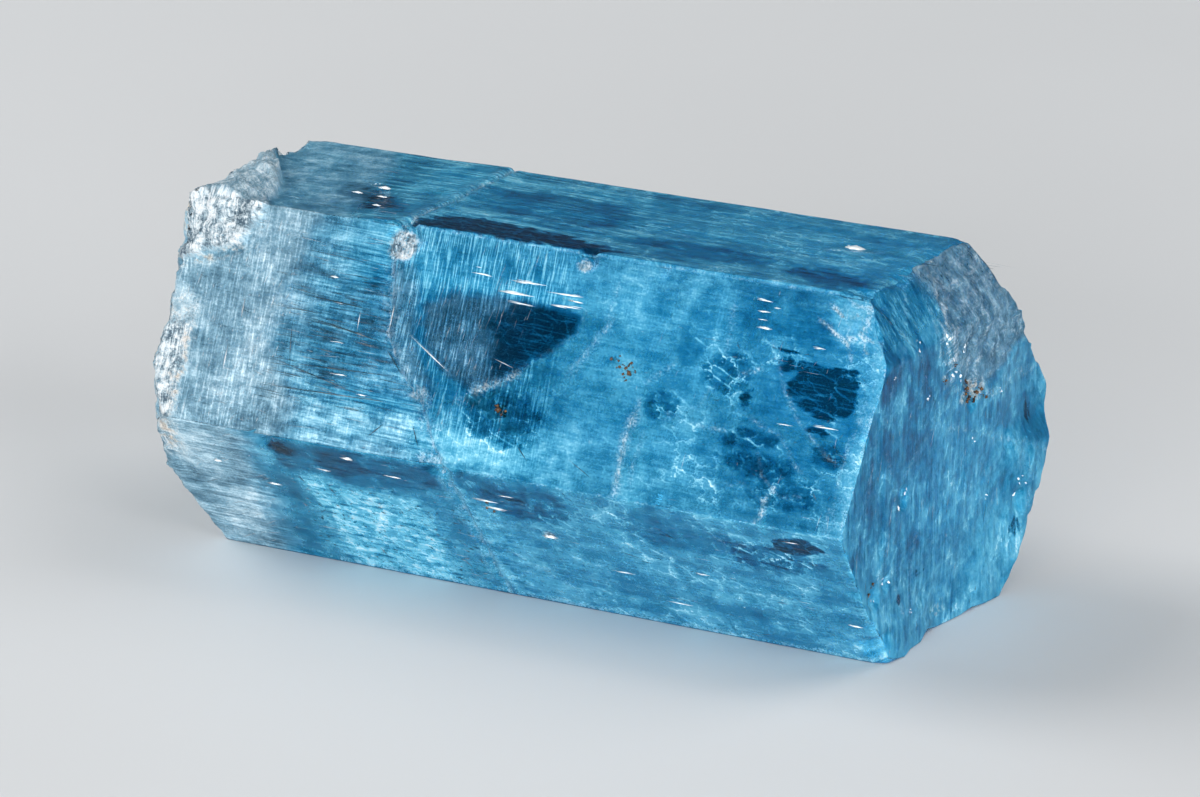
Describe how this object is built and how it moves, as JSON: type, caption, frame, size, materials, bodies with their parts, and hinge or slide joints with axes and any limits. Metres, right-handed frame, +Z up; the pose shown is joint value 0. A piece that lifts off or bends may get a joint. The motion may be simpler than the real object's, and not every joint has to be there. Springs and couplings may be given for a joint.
{
  "type": "aquamarine crystal",
  "caption": "Natural aquamarine crystal: a see-through blue six-sided prism lying on a prism face, with a healed break round it, a broken frosted end and a chipped termination.",
  "frame": {"origin": "centre of the bounding box in X and Y, in the plane of the prism face that the crystal rests on", "axes": "+X along the crystal axis towards the chipped termination, +Z up out of the rest face, -Y towards the wide front face and the narrower one under it"},
  "size_m": [0.0456, 0.024, 0.0202],
  "materials": {
    "beryl": "see-through sky-blue beryl, glossy on the prism faces, frosted at the broken end"
  },
  "bodies": {
    "root": {"aquamarine_crystal": "beryl"}
  },
  "joints": []
}
